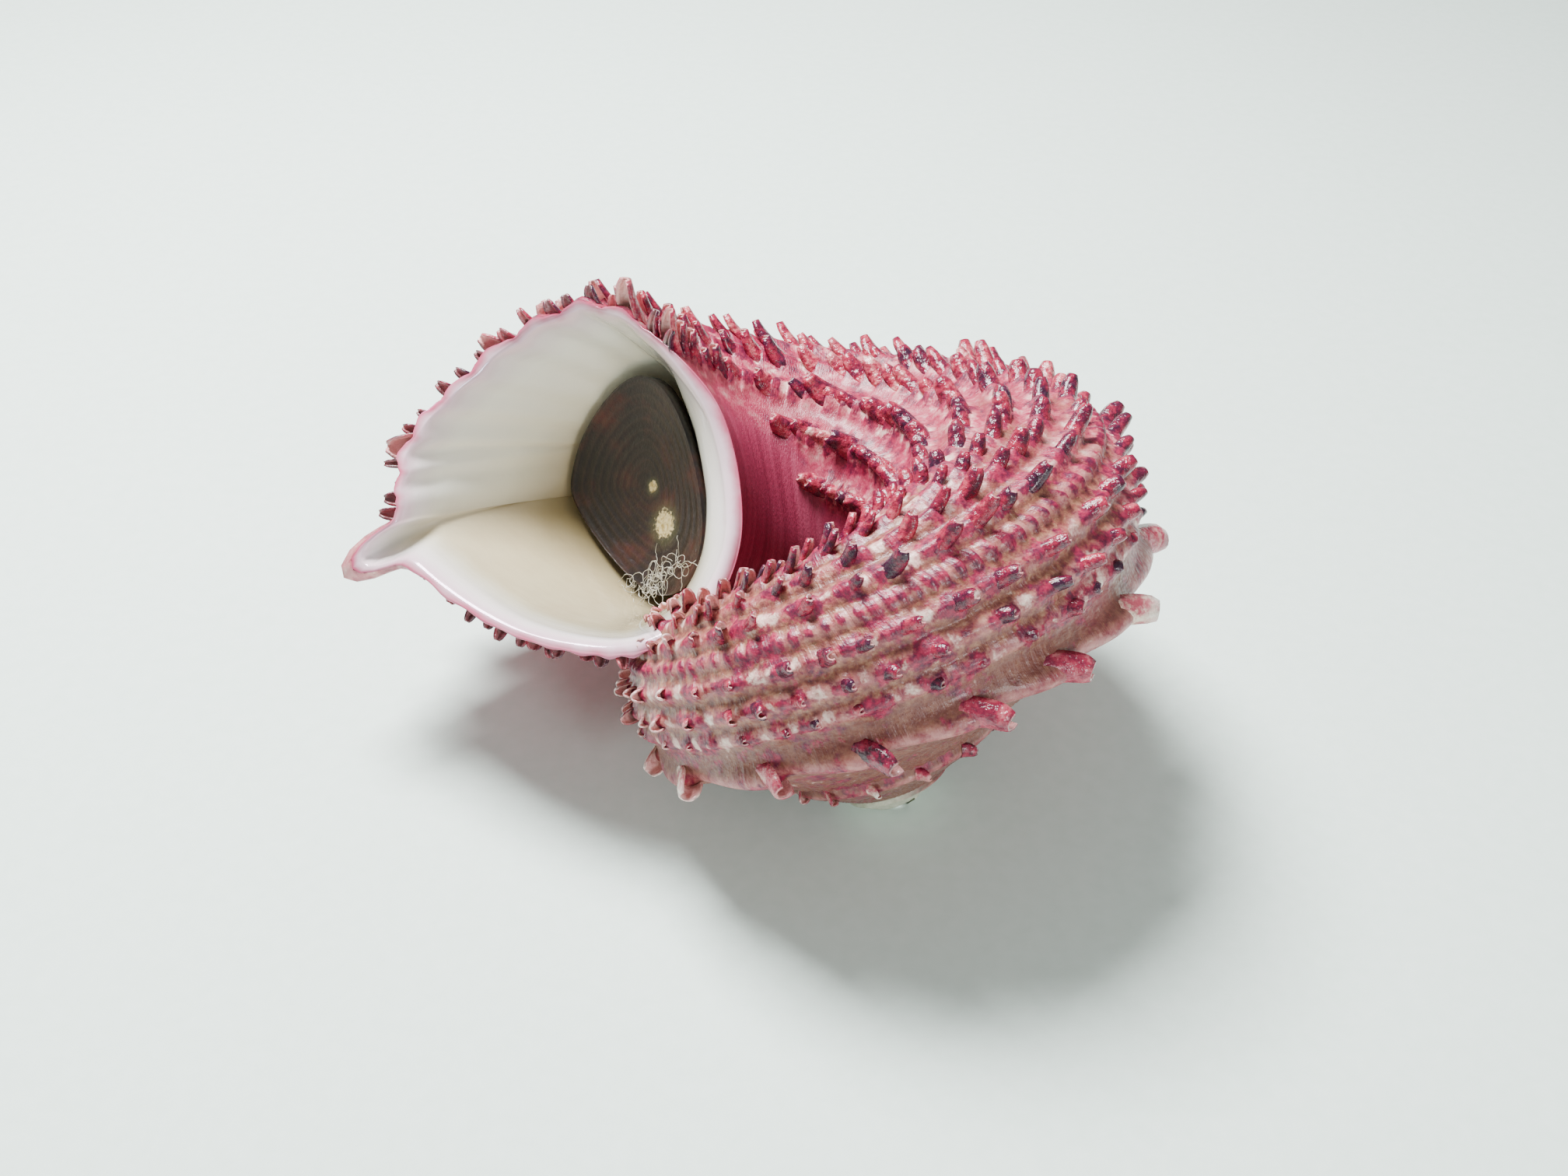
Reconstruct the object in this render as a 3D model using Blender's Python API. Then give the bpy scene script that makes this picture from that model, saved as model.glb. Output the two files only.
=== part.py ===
"""Dolphin snail shell with its operculum.

The shell is one tube that grows in size as it winds round an axis. Every piece of
its surface follows from three cross-sections of that tube, the size ratio from one
whorl to the next, and the places of the cords and spines. Sections are in
millimetres at the size of the lip. The shell lies at rest, +Z up, in metres.
"""
import math

import bmesh
import bpy
import numpy as np
from mathutils import Matrix, Vector

MM = 0.001

# Winding: the size ratio from one whorl to the next, and the turns of each stretch
WHORL_GROWTH = 2.17
APEX_TURN = -3.6
KNOB_TURN = -2.1
EARLY_END_TURN = -0.97
EARLY_CUT_TURNS = (-3.1, -2.6, -2.1, -1.55)

# The coil is made in stretches, because no stretch may meet itself. Each is joined to
# the next by an end that is drawn in and reaches some rows into it.
PLUG_SHARE = 0.80
PLUG_ROWS = 2
SEAM_SHARE = 0.93
SPLIT_SPINE = 10
LIP_CAP_ROWS = 3

# Sections through the tube: distance from the axis, distance from the apex, and
# how far that point's growth line runs ahead of the shoulder, in degrees. They go
# from the seam over the shelf to the shoulder, down the side, and up the inner wall.
REGULAR_SECTION = (
    (12.5, 10.3, 18), (16.6, 12.2, 14), (21.5, 15.1, 8), (27.8, 19.0, 0),
    (29.3, 23.4, -2), (29.8, 28.3, -4), (28.3, 33.2, -7), (24.9, 36.6, -10),
    (20.0, 37.6, -12), (13.2, 35.6, -8), (7.8, 31.2, 0), (4.9, 25.4, 10),
    (4.4, 18.6, 18), (7.8, 13.7, 20))
LATE_SECTION = (
    (12.4, 13.5, 27), (16.2, 14.9, 20), (20.7, 17.6, 10), (26.3, 22.5, 0),
    (27.0, 26.1, -3), (26.6, 29.7, -7), (24.5, 32.9, -12), (20.9, 34.9, -17),
    (16.4, 35.6, -20), (10.6, 34.2, -14), (6.1, 30.2, 0), (4.1, 24.3, 15),
    (4.3, 19.4, 29), (7.7, 15.3, 31))
MOUTH_SECTION = (
    (12.2, 16.2, 36), (15.8, 17.2, 25), (20.7, 20.3, 12), (26.1, 26.1, 0),
    (25.9, 29.3, -4), (25.2, 32.6, -9), (22.3, 35.8, -17), (18.0, 38.7, -25),
    (12.6, 39.4, -28), (7.4, 36.0, -20), (4.1, 30.6, 0), (3.6, 25.2, 20),
    (5.0, 20.4, 40), (8.1, 17.2, 42))
REGULAR_TURN = -0.62
LATE_TURN = -0.28
SECTION_POINTS = 14

# Step between places where a direction is measured, and the smallest radius that a
# lean is worked out for
PLACE_STEP = 0.02
SMALLEST_RADIUS = 8.0

# Spines on the shoulder: degrees back from the lip, place on the section, size, and
# how much of it the row before the spine and the rows between spines stand up
SPINES_BACK = (0, 10.5, 21.5, 33, 45.5, 60, 77, 97, 120, 147, 177.4, 204.3,
               225.3, 244.1, 266, 287.5, 315.4, 346.2, 372)
SHOULDER_PLACE = 3.15
SPINE_LENGTH = 3.3
SPINE_LEAN = 0.9
SPINE_FLANK = 0.30
SPINE_BEFORE_SHARE = 0.45
SPINE_BETWEEN_SHARE = 0.12
SPINE_FLANK_HEIGHT = 0.9
KEEL_FLANK_HEIGHT = 0.3

# Scaly cords between the shoulder and the hollow of the base
CORD_PLACES = (4.2, 4.8, 5.42, 5.95, 6.5, 7.15, 7.8, 8.45, 9.1)
CORD_SCALE_LENGTHS = (0.9, 1.5, 1.6, 0.7, 1.7, 1.7, 1.7, 1.6, 1.4)
CORD_HALF_WIDTH = 0.15
CORD_HEIGHT = 0.35
SCALE_LEAN = 0.8
SCALE_SHARES = (1.0, 0.34, 0.0)
ROW_DEGREES = 5.0

# Plain stretches of the section: the shelf above, and the wall of the hollow
SHELF_PLACES = (0.0, 0.6, 1.2, 1.8, 2.4)
WALL_PLACES = (9.8, 10.7, 11.6, 12.4, 13.2)

# Early whorls
EARLY_PLACES = (0.0, 0.8, 1.6, 2.4, 2.85, 3.15, 3.45, 4.3, 5.3, 6.5, 7.7, 9.0,
                10.2, 11.4, 12.4, 13.2)
EARLY_ROW_DEGREES = 12
EARLY_SPINE_LENGTH = 2.6
EARLY_BETWEEN_SHARE = 0.15
APEX_ROW_DEGREES = 20

# The living chamber: wall thickness at the lip and inside, where the wall is
# thickest, how far back the lip flares, and the chamber's depth
LIP_WALL = 0.9
CHAMBER_WALL = 3.6
CHAMBER_WALL_SWING = 1.4
CHAMBER_THICK_PLACE = 7.0
FLARE_TURN = 0.12
CHAMBER_TURN = -0.52
CHAMBER_OUT_TURN = 0.05
CHAMBER_ROUNDING_TURN = 0.02
CHAMBER_END_SHARE = 0.72
CHAMBER_COLUMNS = 24
CHAMBER_ROWS = 12

# The operculum: a round horny plate across the chamber, dished towards the lip
PLATE_TURN = -0.10
PLATE_TURN_STEP = 0.01
PLATE_THICKNESS = 1.0
PLATE_GAP = 0.8
PLATE_COLUMNS = 32
PLATE_RINGS = (0.15, 0.36, 0.58, 0.80, 1.0)
PLATE_DISH = 0.9
PLATE_ROUNDING = 14
PLATE_SEARCH_TURNS = 0.3
PLATE_SEARCH_STEPS = 24

# How the shell lies: the turn and lean of its axis, and where the apex is, in mm.
# The tip of the spire and the knobs beside it are worn flat where it rests.
AXIS_SPIN = -176.683
AXIS_LEAN = 30.425
AXIS_LEAN_TOWARDS = 126.833
APEX_AT = (10.01, -9.86, -0.92)
WORN_BLOCK = 80.0


def clear_scene():
    """Remove every object of the start-up scene."""
    for obj in list(bpy.data.objects):
        bpy.data.objects.remove(obj, do_unlink=True)


def new_collection(name):
    """Make a collection in the scene and return it."""
    group = bpy.data.collections.new(name)
    bpy.context.scene.collection.children.link(group)
    return group


def shell_material(name, colour, roughness):
    """Plain Principled material for one piece."""
    material = bpy.data.materials.new(name)
    material.use_nodes = True
    shader = material.node_tree.nodes["Principled BSDF"]
    shader.inputs["Base Color"].default_value = (*colour, 1.0)
    shader.inputs["Roughness"].default_value = roughness
    shader.inputs["Metallic"].default_value = 0.0
    return material


def smooth_step(x):
    """Ease from 0 to 1."""
    x = np.clip(x, 0.0, 1.0)
    return x * x * (3.0 - 2.0 * x)


def closed_curve(points, places):
    """Read a closed smooth curve through the points at the given places."""
    points = np.asarray(points, dtype=float)
    start = np.floor(places).astype(int)
    f = (places - start)[:, None]
    a, b, c, d = (points[(start + k) % len(points)] for k in (-1, 0, 1, 2))
    bend = 2 * a - 5 * b + 4 * c - d + f * (3 * (b - c) + d - a)
    return b + 0.5 * f * (c - a + f * bend)


def section(turn, places):
    """Cross-section of the tube at a turn before the lip, at lip size."""
    turn = np.broadcast_to(turn, places.shape)[:, None]
    to_late = smooth_step((turn - REGULAR_TURN) / (LATE_TURN - REGULAR_TURN))
    to_mouth = smooth_step((turn - LATE_TURN) / -LATE_TURN)
    regular = closed_curve(REGULAR_SECTION, places)
    late = closed_curve(LATE_SECTION, places)
    mouth = closed_curve(MOUTH_SECTION, places)
    grown = regular * (1 - to_late) + late * to_late
    return grown * (1 - to_mouth) + mouth * to_mouth


def outward(turn, places):
    """Unit directions out of the section, in its own plane."""
    run = section(turn, places + PLACE_STEP) - section(turn, places - PLACE_STEP)
    out = np.stack([run[:, 1], -run[:, 0]], axis=1)
    return out / np.linalg.norm(out, axis=1, keepdims=True)


def wind(turn, points):
    """Carry section points to their place on the coil, in the axis frame."""
    turns = turn + points[:, 2] / 360.0
    size = WHORL_GROWTH ** turns
    angle = 2 * math.pi * turns
    radius = points[:, 0] * size
    return np.stack([radius * np.cos(angle), radius * np.sin(angle),
                     points[:, 1] * size], axis=1)


def raised_row(turn, places, lift, lean):
    """One row of the outer surface, lifted outwards and leaned towards the lip."""
    points = section(turn, places)
    points[:, :2] += outward(turn, places) * lift[:, None]
    reach = 2 * math.pi * np.maximum(points[:, 0], SMALLEST_RADIUS)
    points[:, 2] += 360.0 * lean / reach
    return wind(turn, points)


def last_whorl_rows():
    """Turn of every row of the last whorl, and which rows carry a shoulder spine."""
    turns = [0.0]
    spine_rows = [0]
    for near, far in zip(SPINES_BACK, SPINES_BACK[1:]):
        count = max(2, round((far - near) / ROW_DEGREES))
        for step in range(1, count + 1):
            turns.append(-(near + (far - near) * step / count) / 360.0)
        spine_rows.append(len(turns) - 1)
    return turns, spine_rows


def last_whorl_columns():
    """Places round the section, with each column's part in a cord or spine."""
    columns = [(place, "plain", 0) for place in SHELF_PLACES]
    for side in (-SPINE_FLANK, 0.0, SPINE_FLANK):
        kind = "spine" if side == 0.0 else "spine_flank"
        columns.append((SHOULDER_PLACE + side, kind, 0))
    for cord, place in enumerate(CORD_PLACES):
        for side in (-CORD_HALF_WIDTH, 0.0, CORD_HALF_WIDTH):
            kind = "crest" if side == 0.0 else "flank"
            columns.append((place + side, kind, cord))
    columns.extend((place, "plain", 0) for place in WALL_PLACES)
    return columns


def spine_share(row, spine_rows):
    """Share of a spine's length that one row of the shoulder stands up."""
    if row in spine_rows:
        return 1.0
    return SPINE_BEFORE_SHARE if row - 1 in spine_rows else SPINE_BETWEEN_SHARE


def scale_share(row, cord):
    """Share of a scale's length that one row of a cord stands up."""
    return SCALE_SHARES[(row + 2 * cord) % len(SCALE_SHARES)]


def last_whorl_lattice(first_row, last_row):
    """Rows of points from first_row, near the lip, back to last_row."""
    turns, spine_rows = last_whorl_rows()
    columns = last_whorl_columns()
    places = np.array([place for place, kind, cord in columns])
    rows = []
    for row in range(last_row, first_row - 1, -1):
        lift = np.zeros(len(columns))
        lean = np.zeros(len(columns))
        for index, (place, kind, cord) in enumerate(columns):
            if kind == "spine":
                share = spine_share(row, spine_rows)
                lift[index] = SPINE_LENGTH * share
                lean[index] = SPINE_LEAN * share
            elif kind == "spine_flank":
                lift[index] = SPINE_FLANK_HEIGHT if row in spine_rows else KEEL_FLANK_HEIGHT
            elif kind == "crest":
                share = scale_share(row, cord)
                lift[index] = CORD_HEIGHT + CORD_SCALE_LENGTHS[cord] * share
                lean[index] = SCALE_LEAN * share
        rows.append(raised_row(turns[row], places, lift, lean))
    return rows


def early_rows():
    """Rows of the whorls before the last: smooth at first, then with knobs."""
    places = np.array(EARLY_PLACES)
    shoulder = EARLY_PLACES.index(SHOULDER_PLACE)
    turns = list(np.arange(APEX_TURN, KNOB_TURN, APEX_ROW_DEGREES / 360.0))
    smooth_count = len(turns)
    turns.extend(np.arange(KNOB_TURN, EARLY_END_TURN, EARLY_ROW_DEGREES / 360.0))
    rows = []
    for row, turn in enumerate(turns):
        lift = np.zeros(len(places))
        lean = np.zeros(len(places))
        if row >= smooth_count:
            knob = (row - smooth_count) % 2 == 0
            lift[shoulder] = EARLY_SPINE_LENGTH * (1.0 if knob else EARLY_BETWEEN_SHARE)
            lean[shoulder] = SPINE_LEAN if knob else 0.0
        rows.append(raised_row(turn, places, lift, lean))
    return turns, rows


def make_early_stretches(group):
    """The early whorls in stretches of about half a turn, each short of itself."""
    turns, rows = early_rows()
    cuts = [0]
    for limit in EARLY_CUT_TURNS:
        cuts.append(min(row for row, turn in enumerate(turns) if turn >= limit))
    cuts.append(len(rows) - 1)
    stretches = []
    for number, (first, last) in enumerate(zip(cuts, cuts[1:])):
        ring_list = rows[first:last + 1]
        if first > 0:
            ring_list = [shrunk(rows[first - PLUG_ROWS], PLUG_SHARE)] + ring_list
        if last < len(rows) - 1:
            ring_list = ring_list + [shrunk(rows[last + PLUG_ROWS], PLUG_SHARE)]
        else:
            ring_list[-1] = shrunk(ring_list[-1], PLUG_SHARE)
        stretches.append(lofted_object(f"early stretch {number + 1}", ring_list, group))
    return stretches


def shrunk(row, share):
    """The same row of points, drawn in towards its middle."""
    middle = row.mean(axis=0)
    return middle + (row - middle) * share


def resting_matrix():
    """Turn the shell from its axis frame to the way it lies."""
    spin = Matrix.Rotation(math.radians(AXIS_SPIN), 4, "Z")
    sideways = Matrix.Rotation(math.radians(AXIS_LEAN_TOWARDS + 90.0), 4, "Z") @ Vector((1, 0, 0))
    lean = Matrix.Rotation(math.radians(AXIS_LEAN), 4, sideways)
    return Matrix.Translation(Vector(APEX_AT) * MM) @ lean @ spin


def lofted_object(name, rows, group, end_middle=None):
    """Close a list of rings into one solid with a point-centred cap at each end."""
    mesh = bmesh.new()
    rings = [[mesh.verts.new(Vector(point) * MM) for point in row] for row in rows]
    width = len(rings[0])
    for near, far in zip(rings, rings[1:]):
        for index in range(width):
            after = (index + 1) % width
            mesh.faces.new((near[index], near[after], far[after]))
            mesh.faces.new((near[index], far[after], far[index]))
    if end_middle is None:
        end_middle = rows[-1].mean(axis=0)
    for ring, middle in ((rings[0], rows[0].mean(axis=0)), (rings[-1], end_middle)):
        centre = mesh.verts.new(Vector(middle) * MM)
        for index in range(width):
            mesh.faces.new((ring[index], ring[(index + 1) % width], centre))
    bmesh.ops.recalc_face_normals(mesh, faces=mesh.faces)
    data = bpy.data.meshes.new(name)
    mesh.to_mesh(data)
    mesh.free()
    obj = bpy.data.objects.new(name, data)
    group.objects.link(obj)
    return obj


def hide_tool(obj):
    """Mark an object as one that only shapes others."""
    obj.hide_render = True
    obj.display_type = "WIRE"


def add_boolean(obj, other, operation):
    """Join or cut obj with the other object."""
    modifier = obj.modifiers.new(f"{operation.lower()} {other.name}", "BOOLEAN")
    modifier.operation = operation
    modifier.object = other
    modifier.solver = "EXACT"


def chamber_points(turn, places, extra=0.0):
    """Points of the chamber's wall, inside the outer surface."""
    swing = CHAMBER_WALL_SWING * np.cos(
        2 * math.pi * (places - CHAMBER_THICK_PLACE) / SECTION_POINTS)
    wall = LIP_WALL + (CHAMBER_WALL + swing - LIP_WALL) * smooth_step(-turn / FLARE_TURN) + extra
    points = section(turn, places)
    points[:, :2] -= outward(turn, places) * wall[:, None]
    return wind(turn, points)


def make_chamber(group):
    """The hollow that is cut into the last half whorl."""
    places = np.linspace(0, SECTION_POINTS, CHAMBER_COLUMNS, endpoint=False)
    span = CHAMBER_OUT_TURN - CHAMBER_TURN
    turns = [CHAMBER_TURN + span * row / CHAMBER_ROWS for row in range(CHAMBER_ROWS + 1)]
    rows = [chamber_points(turn, places) for turn in turns]
    rounded_end = shrunk(
        chamber_points(CHAMBER_TURN - CHAMBER_ROUNDING_TURN, places), CHAMBER_END_SHARE)
    return lofted_object("chamber", [rounded_end] + rows, group)


def make_worn_block(group):
    """Everything below the surface that the shell rests on."""
    data = bpy.data.meshes.new("worn block")
    mesh = bmesh.new()
    drop = Matrix.Translation(Vector((0, 0, -WORN_BLOCK / 2)) * MM)
    bmesh.ops.create_cube(mesh, size=WORN_BLOCK * MM, matrix=drop)
    mesh.to_mesh(data)
    mesh.free()
    block = bpy.data.objects.new("worn block", data)
    group.objects.link(block)
    return block


def plate_outline():
    """Edge of a flat slice across the chamber, its middle and its direction."""
    places = np.linspace(0, SECTION_POINTS, PLATE_COLUMNS, endpoint=False)
    middle = chamber_points(PLATE_TURN, places).mean(axis=0)
    ahead = chamber_points(PLATE_TURN + PLATE_TURN_STEP, places).mean(axis=0)
    behind = chamber_points(PLATE_TURN - PLATE_TURN_STEP, places).mean(axis=0)
    facing = (ahead - behind) / np.linalg.norm(ahead - behind)
    low = np.full(len(places), PLATE_TURN - PLATE_SEARCH_TURNS)
    high = np.full(len(places), PLATE_TURN + PLATE_SEARCH_TURNS)
    for search in range(PLATE_SEARCH_STEPS):
        half = (low + high) / 2
        ahead_of_plane = (chamber_points(half, places, PLATE_GAP) - middle) @ facing > 0
        low = np.where(ahead_of_plane, low, half)
        high = np.where(ahead_of_plane, half, high)
    edge = chamber_points((low + high) / 2, places, PLATE_GAP)
    for rounding in range(PLATE_ROUNDING):
        edge = 0.5 * edge + 0.25 * (np.roll(edge, 1, axis=0) + np.roll(edge, -1, axis=0))
    return edge, edge.mean(axis=0), facing


def make_operculum(parts):
    """A dished round plate of even thickness."""
    edge, middle, facing = plate_outline()
    rows = []
    for side in (0.5, -0.5):
        rings = PLATE_RINGS if side > 0 else reversed(PLATE_RINGS)
        for share in rings:
            height = side * PLATE_THICKNESS - PLATE_DISH * (1 - share ** 2)
            rows.append(middle + (edge - middle) * share + facing * height)
    return lofted_object("operculum", rows, parts)


def make_shell(parts, tools):
    """Join the stretches of the coil and open the chamber."""
    turns, spine_rows = last_whorl_rows()
    split = spine_rows[SPLIT_SPINE] + 1
    front = last_whorl_lattice(0, split)
    back = last_whorl_lattice(split, len(turns) - 1)
    front_rows = [shrunk(back[-1 - PLUG_ROWS], PLUG_SHARE)] + front
    back_rows = [shrunk(back[0], SEAM_SHARE)] + back[1:] + [shrunk(front[PLUG_ROWS], PLUG_SHARE)]
    lip_middle = front[-1 - LIP_CAP_ROWS].mean(axis=0)
    shell = lofted_object("shell", front_rows, parts, lip_middle)
    behind = lofted_object("last whorl behind", back_rows, tools)
    chamber = make_chamber(tools)
    joined = [behind] + make_early_stretches(tools)
    for piece in joined:
        hide_tool(piece)
        add_boolean(shell, piece, "UNION")
    hide_tool(chamber)
    add_boolean(shell, chamber, "DIFFERENCE")
    for piece in [shell, chamber] + joined:
        piece.matrix_world = resting_matrix()
    worn_block = make_worn_block(tools)
    hide_tool(worn_block)
    add_boolean(shell, worn_block, "DIFFERENCE")
    return shell


def main():
    """Build both pieces."""
    clear_scene()
    parts = new_collection("dolphin_snail_shell")
    tools = new_collection("cutters")
    shell = make_shell(parts, tools)
    shell.data.materials.append(shell_material("crimson shell", (0.50, 0.17, 0.22), 0.55))
    operculum = make_operculum(parts)
    operculum.matrix_world = resting_matrix()
    operculum.data.materials.append(shell_material("brown horn", (0.035, 0.015, 0.012), 0.35))


main()
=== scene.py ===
# %% [markdown]
# # Dolphin snail shell
#
# The object is the dried shell of a sea snail with its operculum, the dark horny lid,
# still in the mouth. A snail adds shell only along the lip, so the whole shell is the
# record of one outline that grows while it winds round an axis. This script builds it
# the same way: one formula carries an outline along the coil, and cords, scales,
# spines and growth lines are small changes to that outline as it grows.
#
# A scan would be closer to one specimen, and a sculpted mesh quicker to start. The
# formula keeps every detail in step with the growth, as in the real shell, and each
# number in it can be read as a size in millimetres.

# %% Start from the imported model
import math

import bpy
import numpy as np
from mathutils import Matrix, Vector


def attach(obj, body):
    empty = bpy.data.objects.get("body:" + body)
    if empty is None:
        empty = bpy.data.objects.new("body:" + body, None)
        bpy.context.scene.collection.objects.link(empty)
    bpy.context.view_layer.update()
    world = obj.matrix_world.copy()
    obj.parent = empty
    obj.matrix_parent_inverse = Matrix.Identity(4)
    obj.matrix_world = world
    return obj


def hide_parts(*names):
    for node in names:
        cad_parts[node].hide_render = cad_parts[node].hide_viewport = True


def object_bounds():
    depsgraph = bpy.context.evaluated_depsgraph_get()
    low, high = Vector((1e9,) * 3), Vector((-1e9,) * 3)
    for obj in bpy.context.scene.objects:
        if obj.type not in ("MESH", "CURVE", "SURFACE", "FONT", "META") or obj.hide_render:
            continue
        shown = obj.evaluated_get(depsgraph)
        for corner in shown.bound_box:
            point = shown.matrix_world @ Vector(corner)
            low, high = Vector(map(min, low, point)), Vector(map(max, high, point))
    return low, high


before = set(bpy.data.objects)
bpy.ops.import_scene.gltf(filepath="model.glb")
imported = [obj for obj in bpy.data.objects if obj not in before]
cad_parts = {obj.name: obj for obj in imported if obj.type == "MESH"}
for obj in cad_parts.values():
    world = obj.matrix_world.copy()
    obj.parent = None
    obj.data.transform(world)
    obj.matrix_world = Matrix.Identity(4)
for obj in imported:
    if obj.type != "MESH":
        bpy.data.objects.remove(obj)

MM = 0.001
cad_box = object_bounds()
size_mm = [round((high - low) / MM, 1) for low, high in zip(*cad_box)]
print("CAD box in mm:", size_mm)

# %% [markdown]
# ## The coil
#
# A turban-like shell follows a logarithmic spiral: each turn is 2.17 times the size of
# the one before, in every direction. Three outlines, read off the shell at different
# ages, are blended along the way, because the last part of an adult's coil drops away
# from the earlier turns and its mouth gets round. Each outline is 14 points of
# distance from the axis, distance from the apex, and how far the growth line runs
# ahead of the shoulder in degrees. A place of 3.15 is the shoulder, 4 to 9 the side
# and base, 10 to 13 the wall of the hollow at the axis, and 0 to 2.5 the upper shelf.

# %% The outline and how it winds
WHORL_GROWTH = 2.17
REGULAR_SECTION = (
    (12.5, 10.3, 18), (16.6, 12.2, 14), (21.5, 15.1, 8), (27.8, 19.0, 0),
    (29.3, 23.4, -2), (29.8, 28.3, -4), (28.3, 33.2, -7), (24.9, 36.6, -10),
    (20.0, 37.6, -12), (13.2, 35.6, -8), (7.8, 31.2, 0), (4.9, 25.4, 10),
    (4.4, 18.6, 18), (7.8, 13.7, 20))
LATE_SECTION = (
    (12.4, 13.5, 27), (16.2, 14.9, 20), (20.7, 17.6, 10), (26.3, 22.5, 0),
    (27.0, 26.1, -3), (26.6, 29.7, -7), (24.5, 32.9, -12), (20.9, 34.9, -17),
    (16.4, 35.6, -20), (10.6, 34.2, -14), (6.1, 30.2, 0), (4.1, 24.3, 15),
    (4.3, 19.4, 29), (7.7, 15.3, 31))
MOUTH_SECTION = (
    (12.2, 16.2, 36), (15.8, 17.2, 25), (20.7, 20.3, 12), (26.1, 26.1, 0),
    (25.9, 29.3, -4), (25.2, 32.6, -9), (22.3, 35.8, -17), (18.0, 38.7, -25),
    (12.6, 39.4, -28), (7.4, 36.0, -20), (4.1, 30.6, 0), (3.6, 25.2, 20),
    (5.0, 20.4, 40), (8.1, 17.2, 42))
REGULAR_TURN = -0.62
LATE_TURN = -0.28
SECTION_POINTS = 14
APEX_TURN = -3.6
SHOULDER_PLACE = 3.15
SHOULDER_RADIUS = 28.0
SMALLEST_RADIUS = 8.0


def smooth_step(x):
    """Ease from 0 to 1."""
    x = np.clip(x, 0.0, 1.0)
    return x * x * (3.0 - 2.0 * x)


def bump(x):
    """A smooth hump, 1 at 0 and nearly nothing beyond 2."""
    return np.exp(-np.square(x))


def closed_curve(points, places):
    """Read a closed smooth curve through the points at the given places."""
    points = np.asarray(points, dtype=float)
    start = np.floor(places).astype(int)
    f = (places - start)[:, None]
    a, b, c, d = (points[(start + k) % len(points)] for k in (-1, 0, 1, 2))
    bend = 2 * a - 5 * b + 4 * c - d + f * (3 * (b - c) + d - a)
    return b + 0.5 * f * (c - a + f * bend)


def section(turn, places):
    """Outline points at a turn before the lip, at lip size."""
    turn = np.broadcast_to(turn, places.shape)[:, None]
    to_late = smooth_step((turn - REGULAR_TURN) / (LATE_TURN - REGULAR_TURN))
    to_mouth = smooth_step((turn - LATE_TURN) / -LATE_TURN)
    grown = (closed_curve(REGULAR_SECTION, places) * (1 - to_late)
             + closed_curve(LATE_SECTION, places) * to_late)
    return grown * (1 - to_mouth) + closed_curve(MOUTH_SECTION, places) * to_mouth


def outward(turn, places, step=0.02):
    """Unit directions out of the outline, in its own plane."""
    run = section(turn, places + step) - section(turn, places - step)
    out = np.stack([run[:, 1], -run[:, 0]], axis=1)
    return out / np.linalg.norm(out, axis=1, keepdims=True)


def surface(turn, places, lift=0.0, lean=0.0):
    """Points on the coil, lifted outwards and leaned towards the lip by mm at lip size."""
    turn = np.broadcast_to(turn, places.shape)
    points = section(turn, places)
    lift = np.broadcast_to(lift, places.shape)
    points[:, :2] += outward(turn, places) * lift[:, None]
    reach = 2 * math.pi * np.maximum(points[:, 0], SMALLEST_RADIUS)
    turns = turn + (points[:, 2] + 360.0 * lean / reach) / 360.0
    size = WHORL_GROWTH ** turns
    angle = 2 * math.pi * turns
    radius = points[:, 0] * size
    return np.stack([radius * np.cos(angle), radius * np.sin(angle),
                     points[:, 1] * size], axis=1)


def growth_mm(turn):
    """Length of shell grown along the shoulder from the apex to a turn."""
    per_turn = 2 * math.pi * SHOULDER_RADIUS / math.log(WHORL_GROWTH)
    return per_turn * WHORL_GROWTH ** turn


lip = surface(np.zeros(200), np.linspace(0, SECTION_POINTS, 200, endpoint=False))
print("lip, across in mm:", np.round(np.ptp(lip, axis=0), 1))
last_turn_mm = float(growth_mm(0) - growth_mm(-1))
print("growth along the last turn's shoulder in mm:", round(last_turn_mm, 1))

# %% [markdown]
# ## How it lies
#
# The shell rests on the tip of its spire and on worn knobs of an early whorl, with the
# axis of the coil leaning 30 degrees from upright. The pieces are made round the axis
# and then turned to this position. Whatever would go below the surface is pressed up
# to it, which is what years of rubbing do to the knobs.

# %% From the axis to the resting position
AXIS_SPIN = -176.683
AXIS_LEAN = 30.425
AXIS_LEAN_TOWARDS = 126.833
APEX_AT = (10.01, -9.86, -0.92)


def resting_matrix():
    """Turn from the axis frame to the way the shell lies."""
    spin = Matrix.Rotation(math.radians(AXIS_SPIN), 4, "Z")
    across = math.radians(AXIS_LEAN_TOWARDS + 90.0)
    hinge = Vector((math.cos(across), math.sin(across), 0.0))
    lean = Matrix.Rotation(math.radians(AXIS_LEAN), 4, hinge)
    return Matrix.Translation(Vector(APEX_AT) * MM) @ lean @ spin


TO_REST = np.array(resting_matrix())


def at_rest(points):
    """Axis-frame points in mm as resting points in metres, pressed up to the surface."""
    placed = points * MM @ TO_REST[:3, :3].T + TO_REST[:3, 3]
    placed[:, 2] = np.maximum(placed[:, 2], 0.0)
    return placed


def add_piece(name, points, faces, values, material, node="shell"):
    """One mesh of the object, with a number for every vertex under each name in values."""
    mesh = bpy.data.meshes.new(name)
    mesh.from_pydata(at_rest(points), [], faces)
    for key, numbers in values.items():
        layer = mesh.attributes.new(key, "FLOAT", "POINT")
        layer.data.foreach_set("value", np.asarray(numbers, dtype=np.float32))
    mesh.materials.append(material)
    mesh.shade_smooth()
    piece = bpy.data.objects.new(name, mesh)
    bpy.context.scene.collection.objects.link(piece)
    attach(piece, "root")
    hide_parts(node)
    print(name, "has", len(faces), "faces")


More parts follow.
